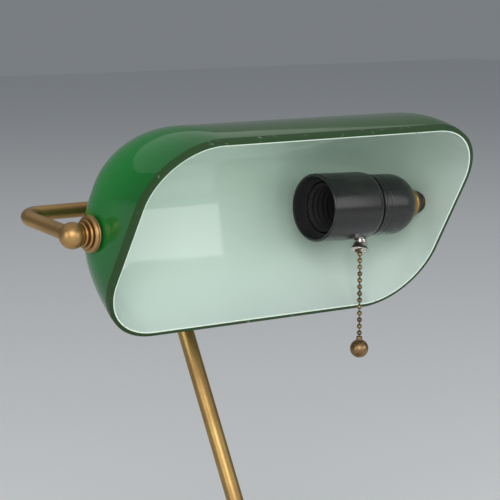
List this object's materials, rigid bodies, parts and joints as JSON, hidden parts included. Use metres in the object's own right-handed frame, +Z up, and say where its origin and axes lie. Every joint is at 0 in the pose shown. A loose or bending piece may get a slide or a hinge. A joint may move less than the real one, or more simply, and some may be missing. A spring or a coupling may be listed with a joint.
{
  "type": "banker desk lamp",
  "caption": "Desk lamp with a long green glass shade that tilts on a brass yoke, a pull-chain lampholder, a bent brass stem and a round weighted base.",
  "frame": {"origin": "centre of the felt pad's underside, where the lamp stands on the desk", "axes": "+Z up, +Y towards the back where the stem's neck is, +X along the shade towards the lampholder's fixed end"},
  "size_m": [0.2688, 0.1801, 0.3548],
  "materials": {
    "satin_brass": "turned and satin, lightly aged",
    "pale_brass": "bright",
    "bronze": "aged",
    "nickel": "nickel plated",
    "steel": "plain",
    "cast_iron": "cast",
    "felt": "felt",
    "rubber": "matt",
    "cased_glass": "polished deep green outside, white opal inside",
    "phenolic": "satin moulded",
    "ceramic": "glazed"
  },
  "bodies": {
    "stand": {"base_shell": "satin_brass", "base_weight": "cast_iron", "base_plate": "steel", "base_felt_pad": "felt", "cable_gland": "rubber", "gland_nut": "nickel", "stem_collar": "satin_brass", "stem_washer": "steel", "stem_lock_nut": "steel", "stem_tube": "satin_brass", "yoke_hub": "satin_brass", "hub_set_screw": "steel", "yoke_tube": "satin_brass", "left_ball": "satin_brass", "right_ball": "satin_brass"},
    "shade": {"shade_glass": "cased_glass", "left_pivot_collar": "satin_brass", "left_pivot_ring": "satin_brass", "left_pivot_disc": "satin_brass", "left_outer_seat": "rubber", "right_pivot_collar": "satin_brass", "right_pivot_ring": "satin_brass", "right_pivot_disc": "satin_brass", "right_outer_seat": "rubber", "left_nipple": "pale_brass", "left_inner_seat": "rubber", "left_inner_washer": "pale_brass", "left_inner_nut": "pale_brass", "right_nipple": "pale_brass", "right_inner_seat": "rubber", "right_ring_nut": "pale_brass", "lampholder_skirt": "phenolic", "lampholder_cap": "phenolic", "threaded_shell": "phenolic", "insulator_core": "ceramic", "centre_contact": "pale_brass", "terminal_screw_upper": "pale_brass", "terminal_screw_lower": "pale_brass", "chain_bell_mouth": "nickel"},
    "chain_top": {"chain_top_bead": "bronze"},
    "chain_second": {"chain_second_bead": "bronze"},
    "chain": {"chain_hanging": "bronze", "pull_ball": "bronze"}
  },
  "joints": [
    {"name": "shade_tilt", "type": "hinge", "parent": "stand", "child": "shade", "pos_m": [0, 0.00029, 0.3], "axis": [1, 0, 0], "range_deg": [-22, 55]},
    {"name": "switch_pull", "type": "slide", "parent": "shade", "child": "chain_top", "axis": [0, 0, -1], "range_m": [0, 0.008], "stiffness_N_per_m": 600, "springref_m": -0.004},
    {"name": "chain_swing_fore", "type": "hinge", "parent": "chain_top", "child": "chain_second", "pos_m": [0.0607, -0.00601, 0.2784], "axis": [1, 0, 0], "range_deg": [-40, 13]},
    {"name": "chain_swing_side", "type": "hinge", "parent": "chain_second", "child": "chain", "pos_m": [0.0607, -0.00601, 0.27465], "axis": [0, 1, 0], "range_deg": [-35, 35]}
  ]
}
